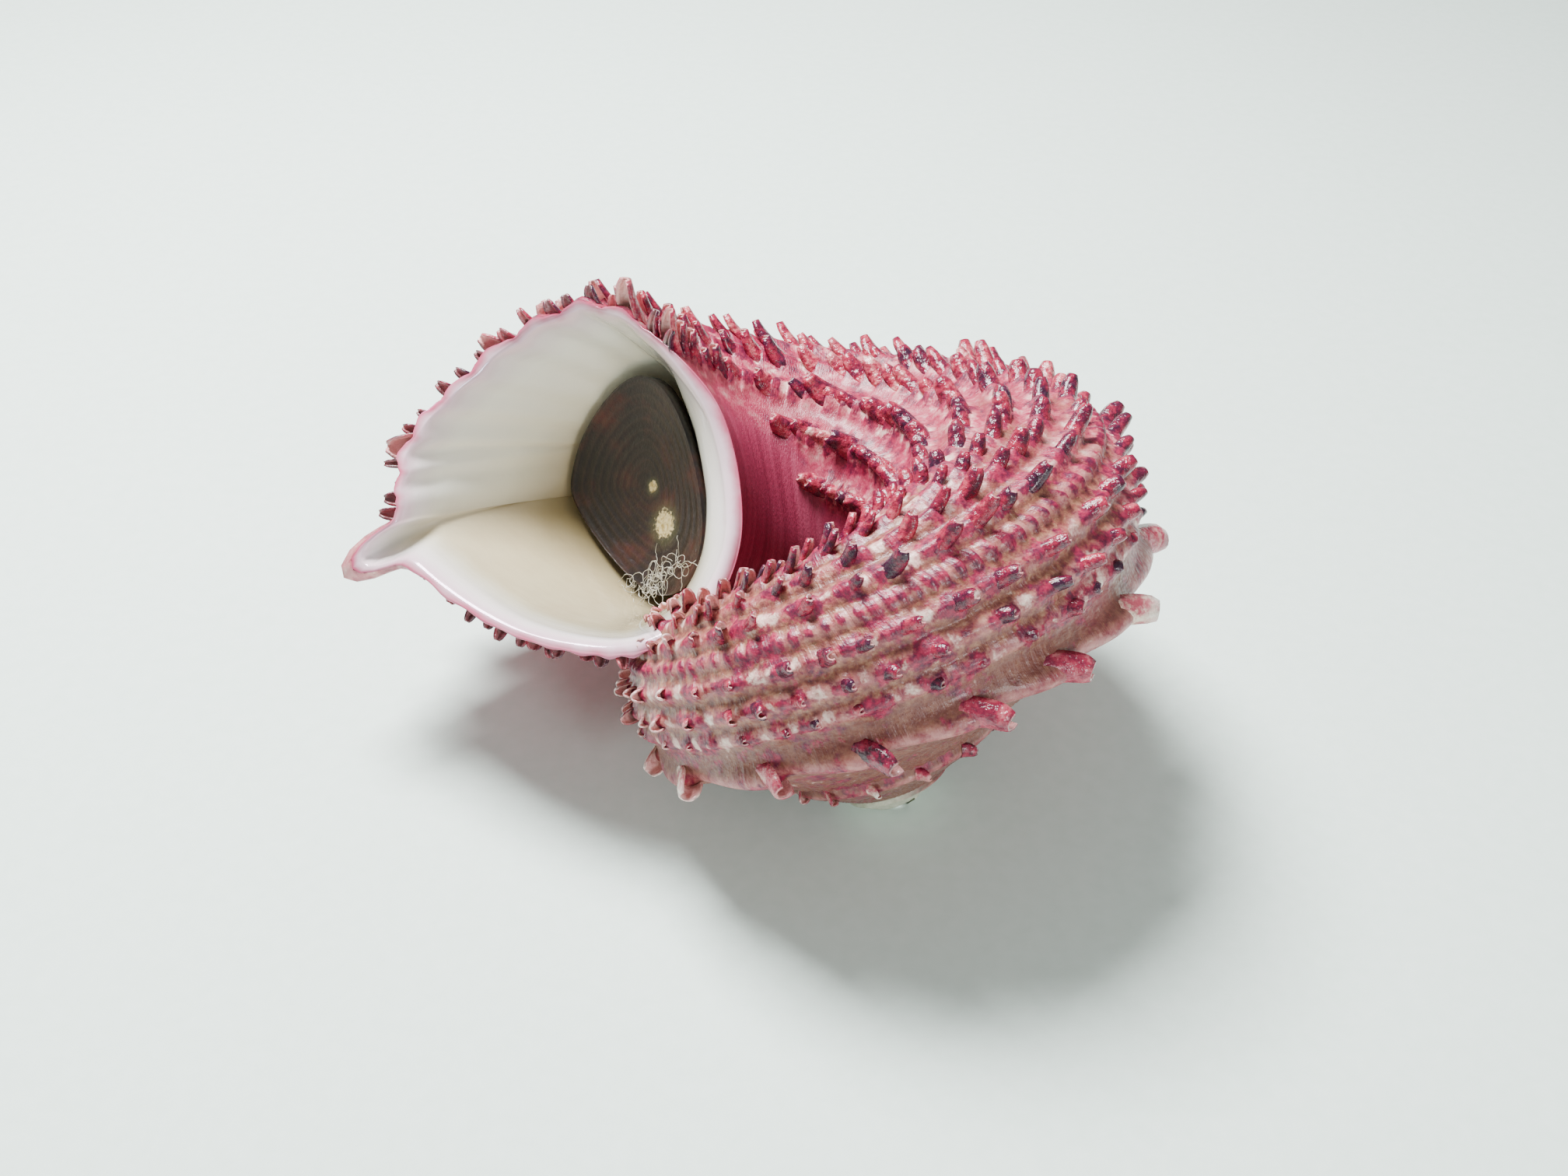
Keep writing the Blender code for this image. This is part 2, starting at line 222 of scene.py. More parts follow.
def grid_faces(rows, columns, first=0):
    """Four-cornered faces between closed rows of points that follow each other."""
    row, column = np.meshgrid(np.arange(rows - 1), np.arange(columns), indexing="ij")
    after = (column + 1) % columns
    corners = (row * columns + column, row * columns + after,
               (row + 1) * columns + after, (row + 1) * columns + column)
    return (np.stack([corner.ravel() for corner in corners], axis=1) + first).tolist()


print("apex at rest in mm:", np.round(at_rest(np.zeros((1, 3)))[0] / MM, 2))

# %% [markdown]
# ## Colour helpers
#
# Colours are written as they look on a screen, such as D26D7D for the pink of the back,
# and turned to the linear values that a renderer adds and multiplies. One function adds
# a node of any kind, so each material reads as a list of what it mixes.

# %% Nodes and colours
def colour(code):
    """Linear colour from six hex digits."""
    channels = (int(code[k:k + 2], 16) / 255.0 for k in (0, 2, 4))
    linear = [c / 12.92 if c <= 0.04045 else ((c + 0.055) / 1.055) ** 2.4 for c in channels]
    return (*linear, 1.0)


def add_node(tree, kind, links=None, **settings):
    """Add a node. Links go from input names or numbers to output sockets or plain values."""
    node = tree.nodes.new("ShaderNode" + kind)
    for key, value in settings.items():
        setattr(node, key, value)
    for key, value in (links or {}).items():
        socket = node.inputs[key]
        if isinstance(value, bpy.types.NodeSocket):
            tree.links.new(value, socket)
        else:
            socket.default_value = value
    return node


def value_of(tree, name):
    """The number stored on the mesh under that name."""
    return add_node(tree, "Attribute", attribute_name=name).outputs["Fac"]


def math_of(tree, operation, *inputs):
    """The result of a math node."""
    return add_node(tree, "Math", dict(enumerate(inputs)), operation=operation).outputs[0]


def between(tree, value, low, high, to_low=0.0, to_high=1.0):
    """Ease from to_low to to_high while value goes from low to high."""
    return add_node(tree, "MapRange", {"Value": value, "From Min": low, "From Max": high,
                                       "To Min": to_low, "To Max": to_high},
                    interpolation_type="SMOOTHSTEP").outputs["Result"]


def mixed(tree, share, first, second):
    """A colour between two others."""
    node = add_node(tree, "Mix", {0: share, 6: first, 7: second}, data_type="RGBA")
    return node.outputs[2]


def noise(tree, where, scale, detail=3.0, roughness=0.5):
    """Soft random values about 0.5 at a place."""
    links = {"Vector": where, "Scale": scale, "Detail": detail, "Roughness": roughness}
    return add_node(tree, "TexNoise", links).outputs["Fac"]


def ramp(tree, value, stops):
    """A colour read off a list of (position, hex code)."""
    node = add_node(tree, "ValToRGB", {"Fac": value})
    elements = node.color_ramp.elements
    while len(elements) < len(stops):
        elements.new(0.5)
    for element, (position, code) in zip(elements, stops):
        element.position = position
        element.color = colour(code)
    return node.outputs["Color"]


def surface_place(tree, along_stretch, around_stretch):
    """A place on the shell in mm along the growth and mm round the tube, each stretched."""
    along = math_of(tree, "MULTIPLY", value_of(tree, "along_mm"), along_stretch)
    around = math_of(tree, "MULTIPLY", value_of(tree, "around_mm"), around_stretch)
    return add_node(tree, "CombineXYZ", {"X": along, "Y": around, "Z": 0.0}).outputs[0]


def place_in_mm(tree):
    """Where a point is on the whole object, in mm."""
    links = {0: add_node(tree, "TexCoord").outputs["Object"], "Scale": 1 / MM}
    return add_node(tree, "VectorMath", links, operation="SCALE").outputs[0]


def new_material(name, roughness, coat=0.0, coat_roughness=0.2):
    """A material with its shader's steady numbers set, its tree and its shader."""
    material = bpy.data.materials.new(name)
    material.use_nodes = True
    shader = material.node_tree.nodes["Principled BSDF"]
    shader.inputs["Roughness"].default_value = roughness
    shader.inputs["Coat Weight"].default_value = coat
    shader.inputs["Coat Roughness"].default_value = coat_roughness
    return material, material.node_tree, shader


def finish_material(tree, shader, base, rough=None, height=None, distance=0.1):
    """Join colour, roughness and a height in mm to the shader."""
    tree.links.new(base, shader.inputs["Base Color"])
    if rough is not None:
        tree.links.new(rough, shader.inputs["Roughness"])
    if height is not None:
        relief = add_node(tree, "Bump", {"Height": height, "Distance": distance * MM,
                                         "Strength": 1.0})
        tree.links.new(relief.outputs[0], shader.inputs["Normal"])


print("pink of the back, linear:", np.round(colour("D26D7D")[:3], 3))

# %% [markdown]
# ## Shell material
#
# The outside is limestone with pigment laid down as the lip grew. The ground is dusty
# pink to tan with cream flecks, the cords are crimson broken by white patches, and fine
# growth lines cross everything. Where a cord is dark or white comes with the mesh, in
# step with its scales. Noise in real millimetres frays the edges of each patch, and
# only the growth lines are stretched along the growth.
#
# A painted picture would have to be unwrapped round a coil. Colours worked out from the
# place on the shell need no unwrapping and stay sharp from any distance.

# %% Material of the outside
FLECKS_PER_MM = 0.85
FINE_PER_MM = 2.3
CLOUDS_PER_MM = 0.22
FRAYED_BY_FLECKS = 3.4
FRAYED_BY_CLOUDS = 1.6
CREAM_FROM_TO = (0.55, 1.15)
CRIMSON_FROM_TO = (0.12, 0.6)
WALL_PLACES = (9.5, 10.1)
PINK = ((0.36, "861838"), (0.45, "AC2A4C"), (0.53, "C24C66"), (0.61, "D58A8E"),
        (0.71, "ECD3C6"))
TAN = ((0.3, "5C282A"), (0.45, "7C443C"), (0.57, "98644E"), (0.7, "B4886C"))
BELOW_KEEL = ((0.4, "562A28"), (0.6, "8A5A4A"))
NEWEST = ((0.42, "84163A"), (0.58, "B43A58"))
CRIMSON = ((0.3, "4A1230"), (0.45, "701638"), (0.6, "9C2044"), (0.75, "B63658"))
CREAM = ((0.3, "CF8F90"), (0.5, "E3BFB4"), (0.7, "F0E2D4"))
CREST = ((0.4, "A52A4A"), (0.6, "D88C90"))
HOLLOW_WALL = ((0.35, "82203F"), (0.5, "962E4E"), (0.65, "A54460"))
WORN_TIP = ((0.3, "B9BDA2"), (0.7, "DEDCCB"))


def ground_colour(tree, flecks, fine, clouds):
    """Between the cords: pink, more tan with age, darker below the keel; grooves get painted
    shade.
    """
    turn = value_of(tree, "turn")
    older = between(tree, turn, -0.72, -0.42, 0.75, 0.3)
    tan_share = between(tree, math_of(tree, "ADD", clouds, older), 0.78, 1.18)
    ground = mixed(tree, tan_share, ramp(tree, flecks, PINK), ramp(tree, fine, TAN))
    below_keel = between(tree, value_of(tree, "place"), 4.5, 3.6, 0.0, 0.6)
    ground = mixed(tree, below_keel, ground, ramp(tree, flecks, BELOW_KEEL))
    newest = between(tree, turn, -0.5, -0.3, 0.0, 0.4)
    ground = mixed(tree, newest, ground, ramp(tree, flecks, NEWEST))
    # Painted shade: the ground darkens to deep crimson and brown in the grooves between the cords.
    painted_groove_shade = between(tree, value_of(tree, "cord"), 0.0, 0.6, 0.45, 0.0)
    return mixed(tree, painted_groove_shade, ground, mixed(tree, tan_share, colour("8C2040"), colour("6E3630")))


def frayed(tree, value, gain):
    """How far a noise is above its middle, times gain."""
    return math_of(tree, "MULTIPLY", math_of(tree, "SUBTRACT", value, 0.5), gain)


def add_shell_colour(tree):
    """Colour of the outer shell: ground, cords, wall of the hollow and worn tip."""
    where = place_in_mm(tree)
    flecks = noise(tree, where, FLECKS_PER_MM, 4.0, 0.65)
    fine = noise(tree, where, FINE_PER_MM, 4.0, 0.6)
    clouds = noise(tree, where, CLOUDS_PER_MM, 2.0)
    lines = noise(tree, surface_place(tree, 0.35, 0.03), 1.0, 3.0, 0.5)
    by_flecks = frayed(tree, flecks, FRAYED_BY_FLECKS)
    by_clouds = frayed(tree, clouds, FRAYED_BY_CLOUDS)
    crest = between(tree, value_of(tree, "cord"), 0.2, 0.9, 0.0, 0.45)
    body = mixed(tree, crest, ground_colour(tree, flecks, fine, clouds), ramp(tree, flecks, CREST))
    white = math_of(tree, "ADD", value_of(tree, "white"),
                    math_of(tree, "SUBTRACT", by_flecks, by_clouds))
    dark = math_of(tree, "SUBTRACT", value_of(tree, "dark"),
                   math_of(tree, "ADD", by_flecks, by_clouds))
    body = mixed(tree, between(tree, white, *CREAM_FROM_TO), body, ramp(tree, fine, CREAM))
    body = mixed(tree, between(tree, dark, *CRIMSON_FROM_TO), body, ramp(tree, fine, CRIMSON))
    younger = between(tree, value_of(tree, "turn"), -0.34, -0.2, -1.1, 0.0)
    wall = between(tree, math_of(tree, "ADD", value_of(tree, "place"), younger), *WALL_PLACES)
    body = mixed(tree, wall, body, ramp(tree, lines, HOLLOW_WALL))
    worn = between(tree, value_of(tree, "worn"), 0.3, 0.7)
    return mixed(tree, worn, body, ramp(tree, fine, WORN_TIP))


def make_shell_material():
    """Chalky pigmented limestone."""
    material, tree, shader = new_material("pigmented_limestone", 0.45, 0.12, 0.12)
    base = add_shell_colour(tree)
    lamellae = noise(tree, surface_place(tree, 1.7, 0.08), 1.0, 4.0, 0.6)
    grains = noise(tree, surface_place(tree, 4.0, 4.0), 1.0, 3.0)
    calm = math_of(tree, "MULTIPLY", value_of(tree, "girth"),
                   between(tree, value_of(tree, "place"), 8.7, 9.5, 1.0, 0.2))
    height = math_of(tree, "ADD", math_of(tree, "MULTIPLY", lamellae, calm),
                     math_of(tree, "MULTIPLY", grains, 0.4))
    rough = between(tree, grains, 0.3, 0.7, 0.3, 0.56)
    finish_material(tree, shader, base, rough, height, 0.16)
    return material


limestone = make_shell_material()
print(limestone.name, "has", len(limestone.node_tree.nodes), "nodes")

# %% [markdown]
# ## The whorls
#
# The skin of the coil is one grid: rows along the growth and columns round the tube.
# Eleven cords run along it, each a low rounded rib that rises at every scale, with fine
# threads between them. The shoulder carries a keel that rises to each of its spines,
# and at the lip it is drawn out into an open spout. The rows are close enough for
# shallow growth ripples, and finer lines are left to the material's bump.

# %% Relief of the outer surface
SPINES_BACK = (0, 10.5, 21.5, 33, 45.5, 60, 77, 97, 120, 147, 177.4, 204.3,
               225.3, 244.1, 266, 287.5, 315.4, 346.2, 372)
KEEL_HEIGHT = 0.5
KEEL_RISE = 1.5
KEEL_HALF_WIDTH = 0.27
CORD_PLACES = (4.2, 4.8, 5.42, 5.95, 6.5, 7.15, 7.8, 8.45, 9.1, 9.8, 10.5)
CORD_HEIGHTS = (0.35, 0.5, 0.55, 0.4, 0.55, 0.55, 0.55, 0.5, 0.5, 0.45, 0.3)
CORD_LAST_TURNS = (0, 0, 0, 0, 0, 0, 0, 0, -0.02, -0.22, -0.28)
CORD_HALF_WIDTH = 0.2
CORD_FADE_TURN = 0.04
THIN_CORD = 3
SCALE_DEGREES = 9.6
SCALE_RISE = 0.55
DARK_FROM_PHASE = 0.30
WHITE_TO_PHASE = 0.42
SHELF_CORD_PLACES = tuple(np.linspace(0.35, 2.75, 8))
SHELF_CORD_HEIGHT = 0.16
SHELF_CORD_HALF_WIDTH = 0.11
SHELF_BEADS_PER_TURN = 70
THREAD_HEIGHT = 0.10
THREADS_PER_PLACE = 4.6
THREAD_PLACES = (3.6, 9.1)
RIPPLE_HEIGHT = 0.05
RIPPLES_PER_TURN = 110
RIPPLE_LAST_PLACE = 8.2
SPOUT_LENGTH = 3.0
SPOUT_TURN = 0.03
SPOUT_HALF_WIDTH = 0.19


def spout(turn, places):
    """The lip drawn out at the shoulder into an open spine, in mm."""
    start = smooth_step(1.0 + turn / SPOUT_TURN)
    return SPOUT_LENGTH * start * bump((places - SHOULDER_PLACE) / SPOUT_HALF_WIDTH)


def scale_phase(turn, cord):
    """Where a turn lies between one scale of a cord, 0, and the next towards the lip, 1."""
    degrees = SCALE_DEGREES / 3 if cord == THIN_CORD else SCALE_DEGREES
    swing = 0.22 * np.sin(31.0 * turn + 5.0 * cord) + 0.16 * np.sin(73.0 * turn + 2.0 * cord)
    return turn * 360.0 / degrees + 0.37 * cord + swing


def slow_rise(phase, rise, drop):
    """From 0 up to 1 over the share rise of a phase, and down again in the last drop."""
    return smooth_step(phase / rise) * smooth_step((1 - phase) / drop)


def keel_rise(turn):
    """Share of the keel's rise, from 0 behind a spine to 1 at the next one."""
    back = -turn * 360.0
    number = np.interp(back, SPINES_BACK, np.arange(len(SPINES_BACK)))
    phase = 1.0 - number % 1.0
    return slow_rise(phase, 0.85, 0.12) * (back < SPINES_BACK[-1])


def cord_there(turn, last):
    """1 where a cord is present and 0 past the turn at which it ends."""
    return smooth_step((last - turn) / CORD_FADE_TURN) if last else 1.0


def cord_share(turn, places):
    """1 on the crest of a cord or the shoulder keel, down to 0 between them."""
    share = bump((places - SHOULDER_PLACE) / CORD_HALF_WIDTH)
    for place, last in zip(CORD_PLACES, CORD_LAST_TURNS):
        crest = bump((places - place) / CORD_HALF_WIDTH)
        share = np.maximum(share, cord_there(turn, last) * crest)
    return share


def scale_shares(turn, places):
    """Share of a scale's rise, of its dark back and of the white patch ahead of it."""
    rise, dark, white = (np.zeros(len(places)) for kind in range(3))
    for cord, (place, last) in enumerate(zip(CORD_PLACES, CORD_LAST_TURNS)):
        near = np.abs(places - place) < 2 * CORD_HALF_WIDTH
        phase = scale_phase(turn[near], cord) % 1.0
        crest = bump((places[near] - place) / CORD_HALF_WIDTH) * cord_there(turn[near], last)
        rise[near] += crest * slow_rise(phase, 0.8, 0.12)
        backs = smooth_step((phase - DARK_FROM_PHASE) / 0.2) * smooth_step((1 - phase) / 0.08)
        dark[near] += crest * backs
        if cord != THIN_CORD:
            white[near] += crest * smooth_step((WHITE_TO_PHASE - phase) / 0.2)
    return rise, dark, white


def relief(turn, places):
    """Height of the cords, threads and growth ripples over the smooth coil, in mm."""
    keel = KEEL_HEIGHT + KEEL_RISE * keel_rise(turn)
    lift = keel * bump((places - SHOULDER_PLACE) / KEEL_HALF_WIDTH)
    for place, height, last in zip(CORD_PLACES, CORD_HEIGHTS, CORD_LAST_TURNS):
        lift = lift + height * cord_there(turn, last) * bump((places - place) / CORD_HALF_WIDTH)
    lift = lift + SCALE_RISE * scale_shares(turn, places)[0] * smooth_step(-turn / 0.01)
    for place in SHELF_CORD_PLACES:
        beads = 1.0 + 0.5 * np.sin(2 * math.pi * turn * SHELF_BEADS_PER_TURN + 3 * place)
        crest = bump((places - place) / SHELF_CORD_HALF_WIDTH)
        lift = lift + SHELF_CORD_HEIGHT * beads * crest
    threads = np.cos(2 * math.pi * THREADS_PER_PLACE * places) * (1 - cord_share(turn, places))
    ripple = np.sin(2 * math.pi * turn * RIPPLES_PER_TURN + 2.0 * np.sin(2.3 * places))
    ripple = ripple * smooth_step((RIPPLE_LAST_PLACE - places) / 0.6)
    first, last = THREAD_PLACES
    sides = smooth_step((places - first) / 0.4) * smooth_step((last - places) / 0.4)
    return lift + sides * (THREAD_HEIGHT * threads + RIPPLE_HEIGHT * ripple)


lip_relief = relief(np.zeros(200), np.linspace(0, SECTION_POINTS, 200))
print("cords at the lip rise by up to", round(float(lip_relief.max()), 2), "mm")


# %% [markdown]
# ## The skin as two meshes
#
# Each whorl partly covers the one before. Inside a real shell the covered wall is
# buried or gone, and here it would poke into the mouth, so faces that lie well inside
# the next whorl are left out. The last whorl is seen closest and gets the finer grid.
#
# The material reads its numbers off the mesh: where a cord is dark or white, how far
# along the growth a point is, and where the tip of the spire is worn down to pale lime.

# %% Last whorl and spire
COVER_POINTS = 80
COVER_INSET = 0.8
COVER_LAST_TURN = 0.02
MM_PER_PLACE = 5.2
WORN_RADIUS = 4.6
WORN_HEIGHT = 6.0


def covered(points, turn):
    """True where a point lies well inside the next whorl."""
    radius = np.hypot(points[:, 0], points[:, 1])
    inside = np.zeros(len(points), dtype=bool)
    next_turn = np.round(turn + 1.0, 2)
    places = np.linspace(0, SECTION_POINTS, COVER_POINTS, endpoint=False)
    for edge_turn in np.unique(next_turn[next_turn <= COVER_LAST_TURN]):
        chosen = np.nonzero(next_turn == edge_turn)[0]
        edge = np.full(COVER_POINTS, edge_turn)
        outline = section(edge, places)
        outline[:, :2] -= outward(edge, places) * COVER_INSET
        angle_turn = edge_turn + outline[:, 2].mean() / 360.0
        size = WHORL_GROWTH ** angle_turn
        x, y = radius[chosen] / size, points[chosen, 2] / size
        crossings = np.zeros(len(chosen), dtype=int)
        for (x0, y0), (x1, y1) in zip(outline[:, :2], np.roll(outline[:, :2], -1, axis=0)):
            spans = (y0 > y) != (y1 > y)
            with np.errstate(divide="ignore", invalid="ignore"):
                meets = x < (x1 - x0) * (y - y0) / (y1 - y0) + x0
            crossings += spans & meets
        inside[chosen] = crossings % 2 == 1
    return inside


def whorl_piece(name, start, end, row_count, column_count, material):
    """One stretch of the outer surface."""
    turns = np.linspace(start, end, row_count)
    places = np.linspace(0, SECTION_POINTS, column_count, endpoint=False)
    turn = np.repeat(turns, column_count)
    place = np.tile(places, row_count)
    lift = relief(turn, place) + spout(turn, place)
    points = surface(turn, place, lift)
    faces = np.array(grid_faces(row_count, column_count))
    hidden = covered(points, turn)
    faces = faces[~hidden[faces].all(axis=1)]
    size = WHORL_GROWTH ** turn
    radius = np.hypot(points[:, 0], points[:, 1])
    dark, white = scale_shares(turn, place)[1:]
    values = {"along_mm": growth_mm(turn), "around_mm": place * MM_PER_PLACE * size,
              "place": place, "turn": turn, "dark": dark, "white": white,
              "girth": np.minimum(radius / (SHOULDER_RADIUS * size), 1.0) ** 1.5,
              "cord": cord_share(turn, place) * smooth_step((place - 2.8) / 0.2),
              "worn": smooth_step((WORN_RADIUS - radius) / 2.0) * (points[:, 2] < WORN_HEIGHT)}
    add_piece(name, points, faces.tolist(), values, material)


whorl_piece("shell_last_whorl", -1.03, 0.0, 440, 210, limestone)
whorl_piece("shell_spire", APEX_TURN, -1.0, 380, 150, limestone)

# %% [markdown]
# ## Scales and spines
#
# At intervals the snail's mantle folded into a small spout at each cord, and the lip
# grew a hollow finger there. On the grown shell these stand as rows of curved, hollow
# scales that lean towards the lip, open on the side that faces it. The shoulder's are
# the largest, broad and scoop-like.
#
# Each is a bent half-tube with a rounded end: a crescent outline carried along a
# curve, wide at the root and narrower at the tip. They are separate surfaces sunk into
# the cord, which keeps their hollow sides crisp and costs fewer faces than a finer
# skin would. Where the lip gets thin they are sunk less, or the roots would show inside.
#
# The sizes of a scale are its length, width, depth and wall in mm, its lean at root
# and tip in degrees, how blunt the tip is, and how much narrower than the root.

# %% One function makes every scale
SCALE_RINGS = 9
SCALE_ARC_POINTS = 9
HALF_ARC_DEGREES = 105
ARC_MIDDLE = 0.3
TIP_DEPTH_SHARE = 0.35
SINK = 0.35
THIN_SINK = 0.05
FRINGE_TURN = 0.012
THIN_LIP_TURN = 0.03
RANDOM_SEED = 7


def local_axes(turn, place):
    """Surface point with unit directions towards the lip, round the tube and out."""
    turn = np.array([float(turn)])
    place = np.array([float(place)])
    point = surface(turn, place)[0]
    ahead = surface(turn + 0.002, place)[0] - surface(turn - 0.002, place)[0]
    side = surface(turn, place + 0.05)[0] - surface(turn, place - 0.05)[0]
    ahead /= np.linalg.norm(ahead)
    side -= ahead * (side @ ahead)
    side /= np.linalg.norm(side)
    out = np.cross(ahead, side)
    if out @ (surface(turn, place, 1.0)[0] - point) < 0:
        out = -out
    return point, ahead, side, out


def scale_rings(length, width, depth, wall, lean_start, lean_end, blunt, taper):
    """Rings of (ahead, side, out) points of one scale, each the outside, then the inside."""
    rings = []
    path = np.zeros(2)
    arc = np.radians(np.linspace(-HALF_ARC_DEGREES, HALF_ARC_DEGREES, SCALE_ARC_POINTS))
    for ring in range(SCALE_RINGS):
        share = ring / (SCALE_RINGS - 1)
        slope = math.radians(lean_start + (lean_end - lean_start) * share)
        along = np.array([math.cos(slope), math.sin(slope)])
        back = np.array([-along[1], along[0]])
        narrowing = (1 - taper * share) * (1 - (0.95 * share) ** blunt) ** 0.5
        half = 0.5 * width * narrowing
        deep = depth * (TIP_DEPTH_SHARE + (1 - TIP_DEPTH_SHARE) * narrowing)
        inner_half = half - min(wall, 0.6 * half)
        sides = np.concatenate([half * np.sin(arc), inner_half * np.sin(arc[::-1])])
        outer_back = deep * (np.cos(arc) - ARC_MIDDLE)
        inner_back = (deep - wall) * (np.cos(arc[::-1]) - ARC_MIDDLE) - ARC_MIDDLE * wall
        backs = np.concatenate([outer_back, inner_back])
        plane = path + backs[:, None] * back
        rings.append(np.column_stack([plane[:, 0], sides, plane[:, 1]]))
        path = path + along * length / (SCALE_RINGS - 1)
    return rings


def make_scales(name, sites, material):
    """Scales as one mesh. A site is turn, place, sizes, tone share and paleness inside."""
    points, faces = [], []
    values = {"tip": [], "hollow": [], "tone_and_painted_shade": []}
    ring_points = 2 * SCALE_ARC_POINTS
    for turn, place, sizes, tone_and_painted_shade, paleness in sites:
        size = WHORL_GROWTH ** turn
        point, ahead, side, out = local_axes(turn, place)
        thick = smooth_step((-turn - FRINGE_TURN) / THIN_LIP_TURN)
        sink = size * (THIN_SINK + (SINK - THIN_SINK) * thick)
        scaled = [value * size for value in sizes[:4]]
        rings = scale_rings(*scaled, *sizes[4:])
        first = len(points) * ring_points
        for index, ring in enumerate(rings):
            placed = point + ring @ np.stack([ahead, side, out]) - out * sink
            points.append(placed)
            share = index / (SCALE_RINGS - 1)
            values["tip"].append(np.full(ring_points, share))
            values["hollow"].append(np.repeat([0.0, paleness], SCALE_ARC_POINTS))
            values["tone_and_painted_shade"].append(np.full(ring_points, tone_and_painted_shade))
        faces.extend(grid_faces(SCALE_RINGS, ring_points, first))
        tip_start = first + (SCALE_RINGS - 1) * ring_points
        faces.append(list(range(tip_start, tip_start + ring_points)))
    values = {key: np.concatenate(parts) for key, parts in values.items()}
    add_piece(name, np.concatenate(points), faces, values, material)


print("a scale has", SCALE_RINGS, "rings of", 2 * SCALE_ARC_POINTS, "points")

# %% [markdown]
# ## Polish on the scales
#
# Scales are the same limestone, but dense and smooth, so they shine where the ground
# does not. One number for each scale picks its shade, from dark purple through crimson
# to cream: random, and lowered on the front turns as painted shade. Its hollow side
# stays pale, and some tips are bleached.

# %% Material of the scales
def make_scale_material(name, body_codes, roughness):
    """Polished crimson backs, pale hollow fronts and light tips."""
    material, tree, shader = new_material(name, roughness, 0.25, 0.15)
    tone_and_painted_shade = value_of(tree, "tone_and_painted_shade")
    tip = value_of(tree, "tip")
    streaks = noise(tree, place_in_mm(tree), 1.3, 4.0, 0.65)
    mottled = math_of(tree, "MULTIPLY", between(tree, streaks, 0.32, 0.68), 0.42)
    shade = math_of(tree, "ADD", math_of(tree, "MULTIPLY", tone_and_painted_shade, 0.6), mottled)
    body = ramp(tree, shade, body_codes)
    pale = ramp(tree, streaks, ((0.35, "E2B9B4"), (0.6, "F3E6DB")))
    tip_share = math_of(tree, "ADD", tip, math_of(tree, "MULTIPLY", streaks, 0.25))
    rare = between(tree, tone_and_painted_shade, 0.55, 0.9)
    pale_tip = math_of(tree, "MULTIPLY", between(tree, tip_share, 0.75, 1.15, 0.0, 0.8), rare)
    outside = mixed(tree, pale_tip, body, pale)
    inside = mixed(tree, between(tree, tip, 0.1, 0.9), colour("F2E3D6"), colour("E6A9A6"))
    base = mixed(tree, value_of(tree, "hollow"), outside, inside)
    height = noise(tree, place_in_mm(tree), 2.2, 3.0)
    finish_material(tree, shader, base, None, height, 0.22)
    return material


scale_material = make_scale_material(
    "glossy_scale", ((0.14, "34102A"), (0.3, "5C1230"), (0.45, "861A38"), (0.58, "A42A44"),
                     (0.72, "C8666E"), (0.84, "E8C4B4")), 0.24)
spine_material = make_scale_material(
    "glossy_spine", ((0.08, "3A1626"), (0.25, "7C1A3A"), (0.45, "A42C48"), (0.62, "C0606C"),
                     (0.78, "DBA79A"), (0.92, "EAD6C0")), 0.26)
print(scale_material.name, spine_material.name)

# %% [markdown]
# ## Scales on the cords
#
# The animal paused at a steady angle of growth, so a cord's scales stand a fixed number
# of degrees apart, a little off beat from their neighbours. One thin cord has three
# short scales where the others have one. Towards the lip, scales get broader and more
# pointed, and a fringe of small ones stands along the lip itself. Sizes and shades vary
# by a seeded random number, so every run gives the same shell, and the scales on the
# front turns are painted darker as painted shade.

# %% Scales on the cords
SCALE_LENGTHS = (2.4, 3.7, 4.1, 1.0, 4.3, 4.3, 4.3, 4.0, 3.8, 3.4, 2.8)
SCALE_WIDTH = 1.9
SCALE_DEPTH = 0.85
SCALE_WALL = 0.24
SCALE_LEANS = (20, 58)
SCALE_BLUNT = 9
SCALE_ROOT_PHASE = 0.42
FIRST_SCALE_TURN = -1.03
# Painted shade: the scales on the front turns, -0.8 to -0.5, get the lowest and darkest tones.
SHADE_TURNS = (-1.0, -0.86, -0.8, -0.5, -0.4, 0.0)
SCALE_TONE_FLOOR_WITH_PAINTED_SHADE = (0.5, 0.4, 0.0, 0.0, 0.16, 0.16)
SHADE_SPREAD = 0.5
BROAD_TURN = -0.42
FRINGE_LENGTH = 1.7
FRINGE_WIDTH = 1.15
FRINGE_STEP = 0.31
FRINGE_PLACES = np.concatenate([np.arange(0.5, 2.75, FRINGE_STEP * 0.55),
                                np.arange(3.6, 9.3, FRINGE_STEP)])


def scale_turns(cord, first, last):
    """Turns along one cord where a scale has its root."""
    turns = np.linspace(first, last, 4000)
    phases = scale_phase(turns, cord) - SCALE_ROOT_PHASE
    whole = np.arange(math.ceil(phases[0]), math.floor(phases[-1]) + 1)
    return np.interp(whole, phases, turns)


def scale_sites(rng):
    """Where each scale of the last whorl stands, and its sizes in mm at lip size."""
    sites = []
    for cord, (place, last) in enumerate(zip(CORD_PLACES, CORD_LAST_TURNS)):
        for turn in scale_turns(cord, FIRST_SCALE_TURN, last - FRINGE_TURN):
            vary = rng.uniform(0.8, 1.2, 3)
            broad = smooth_step((turn - BROAD_TURN) / 0.12)
            length = SCALE_LENGTHS[cord] * vary[0] * (1 - 0.08 * broad)
            width = (min(SCALE_WIDTH, 0.3 * length + 0.8) + broad) * vary[1]
            sizes = (length, width, SCALE_DEPTH * vary[1], SCALE_WALL, SCALE_LEANS[0] * vary[2],
                     SCALE_LEANS[1] * vary[1], SCALE_BLUNT, 0.2 + 0.4 * broad)
            # The lowest tone by turn is painted shade on the front turns; the random part is the
            # scale's own tone.
            shade = np.interp(turn, SHADE_TURNS, SCALE_TONE_FLOOR_WITH_PAINTED_SHADE) + SHADE_SPREAD * rng.random()
            sites.append((turn, place + rng.normal(0, 0.02), sizes, min(shade, 1.0), 1.0))
    return sites


